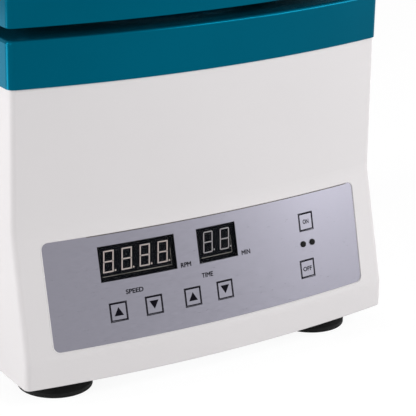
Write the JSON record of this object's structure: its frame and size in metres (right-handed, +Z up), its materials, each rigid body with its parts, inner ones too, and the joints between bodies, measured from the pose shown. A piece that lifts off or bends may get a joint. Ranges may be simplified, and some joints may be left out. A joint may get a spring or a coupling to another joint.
{
  "type": "laboratory centrifuge",
  "caption": "Benchtop laboratory centrifuge with a hinged lid, an angle rotor with hanging tube sleeves and a sloping panel with displays and keys.",
  "frame": {"origin": "on the bench, under the middle of the overall box, at the bottom of the feet", "axes": "+Z up, front and control panel towards -Y, lid hinge at +Y, +X to the right seen from the front"},
  "size_m": [0.28, 0.3282, 0.2711],
  "materials": {
    "white_shell": "fine satin moulded ABS",
    "teal_shell": "satin moulded ABS",
    "black_rubber": "matt rubber",
    "dark_plastic": "fine textured plastic",
    "zinc_steel": "zinc plated steel",
    "bowl_steel": "spun stainless steel",
    "cast_aluminium": "turned aluminium casting",
    "sleeve_aluminium": "drawn aluminium tube",
    "motor_enamel": "baked enamel",
    "lamination_steel": "stacked laminations",
    "bearing_steel": "ground bearing steel",
    "commutator_brass": "turned copper bars",
    "carbon": "pressed carbon",
    "panel_silver": "fine brushed silver",
    "key_silver": "fine brushed silver",
    "display_black": "black LED display module",
    "pane_smoke": "clear window",
    "lens_black": "smoked lens",
    "board_green": "printed circuit board",
    "hinge_steel": "satin steel",
    "fitting_black": "black nylon fitting"
  },
  "bodies": {
    "base": {"housing": "white_shell", "top_deck": "teal_shell", "base_plate": "zinc_steel", "foot_front_left": "black_rubber", "foot_front_right": "black_rubber", "foot_rear_left": "black_rubber", "foot_rear_right": "black_rubber", "foot_screws": "zinc_steel", "base_screws": "zinc_steel", "chamber_bowl": "bowl_steel", "chamber_seal": "black_rubber", "shaft_boot": "black_rubber", "motor_plate": "zinc_steel", "vibration_mounts": "black_rubber", "mount_bolts": "zinc_steel", "motor_lower_bell": "motor_enamel", "motor_can": "motor_enamel", "motor_upper_bell": "motor_enamel", "motor_stator": "lamination_steel", "motor_bearings": "bearing_steel", "carbon_brushes": "carbon", "control_panel": "panel_silver", "speed_window": "pane_smoke", "time_window": "pane_smoke", "speed_display": "display_black", "time_display": "display_black", "key_switches": "fitting_black", "indicator_leds": "lens_black", "display_board": "board_green", "power_board": "board_green", "board_standoffs": "fitting_black", "transformer": "lamination_steel", "mains_inlet": "fitting_black", "inlet_pins": "bearing_steel", "power_switch_frame": "fitting_black", "hinge_base_leaves": "hinge_steel", "hinge_pins": "hinge_steel", "hinge_base_screws": "zinc_steel"},
    "lid": {"lid_cover": "teal_shell", "lid_liner": "dark_plastic", "hinge_lid_leaves": "hinge_steel", "lid_screws": "zinc_steel"},
    "rotor": {"motor_shaft": "bearing_steel", "armature": "lamination_steel", "commutator": "commutator_brass", "rotor_head": "cast_aluminium", "rotor_nut": "hinge_steel", "sleeve_1": "sleeve_aluminium", "sleeve_2": "sleeve_aluminium", "sleeve_3": "sleeve_aluminium", "sleeve_4": "sleeve_aluminium", "sleeve_5": "sleeve_aluminium", "sleeve_6": "sleeve_aluminium"},
    "rocker": {"power_rocker": "fitting_black"},
    "speed_up_key": {"key_speed_up": "key_silver"},
    "speed_down_key": {"key_speed_down": "key_silver"},
    "time_up_key": {"key_time_up": "key_silver"},
    "time_down_key": {"key_time_down": "key_silver"},
    "on_key": {"key_on": "key_silver"},
    "off_key": {"key_off": "key_silver"}
  },
  "joints": [
    {"name": "lid_hinge", "type": "hinge", "parent": "base", "child": "lid", "pos_m": [0, 0.16065, 0.23925], "axis": [-1, 0, 0], "range_deg": [0, 95]},
    {"name": "rotor_spin", "type": "hinge", "parent": "base", "child": "rotor", "pos_m": [0, 0.00385, 0], "axis": [0, 0, 1], "continuous": true},
    {"name": "power_rocker_tilt", "type": "hinge", "parent": "base", "child": "rocker", "pos_m": [0.036, 0.15535, 0.062], "axis": [-1, 0, 0], "range_deg": [0, 18]},
    {"name": "speed_up_press", "type": "slide", "parent": "base", "child": "speed_up_key", "axis": [0, 0.9723, -0.2338], "range_m": [0, 0.0005], "stiffness_N_per_m": 600},
    {"name": "speed_down_press", "type": "slide", "parent": "base", "child": "speed_down_key", "axis": [0, 0.9723, -0.2338], "range_m": [0, 0.0005], "stiffness_N_per_m": 600},
    {"name": "time_up_press", "type": "slide", "parent": "base", "child": "time_up_key", "axis": [0, 0.9723, -0.2338], "range_m": [0, 0.0005], "stiffness_N_per_m": 600},
    {"name": "time_down_press", "type": "slide", "parent": "base", "child": "time_down_key", "axis": [0, 0.9723, -0.2338], "range_m": [0, 0.0005], "stiffness_N_per_m": 600},
    {"name": "on_press", "type": "slide", "parent": "base", "child": "on_key", "axis": [0, 0.9723, -0.2338], "range_m": [0, 0.0005], "stiffness_N_per_m": 600},
    {"name": "off_press", "type": "slide", "parent": "base", "child": "off_key", "axis": [0, 0.9723, -0.2338], "range_m": [0, 0.0005], "stiffness_N_per_m": 600}
  ]
}
